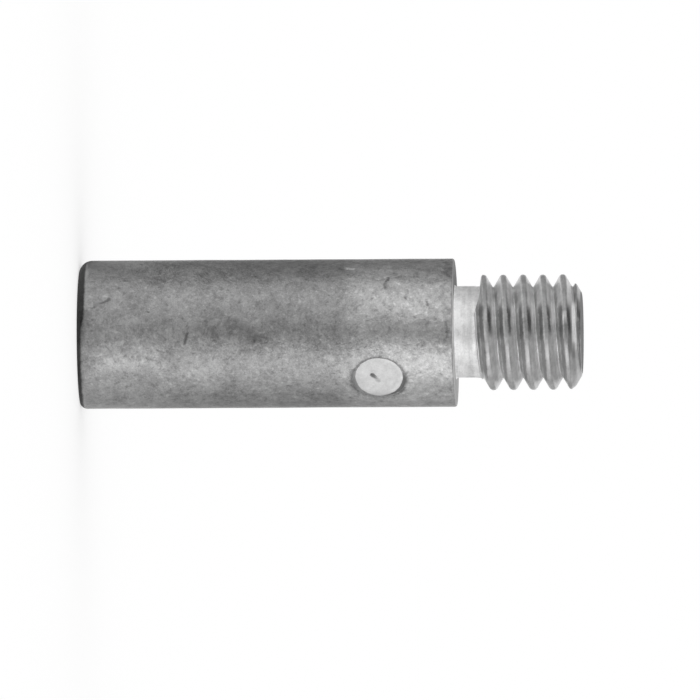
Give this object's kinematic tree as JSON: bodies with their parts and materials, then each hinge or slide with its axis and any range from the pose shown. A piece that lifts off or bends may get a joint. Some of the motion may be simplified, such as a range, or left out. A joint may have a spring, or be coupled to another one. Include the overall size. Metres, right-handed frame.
{
  "type": "sacrificial anode",
  "caption": "Pencil-shaped engine anode: a plain zinc rod with a shoulder, a relief neck and a coarse threaded stub, made as one casting.",
  "frame": {"origin": "centre of the rod's free end face, which the part stands on", "axes": "+Z along the rod's axis from the free end to the thread; -Y is the outward normal of the round flat where the gate was trimmed; +X completes the right-handed frame"},
  "size_m": [0.0118, 0.0118, 0.0402],
  "materials": {
    "zinc": "satin"
  },
  "bodies": {
    "root": {"anode": "zinc"}
  },
  "joints": []
}
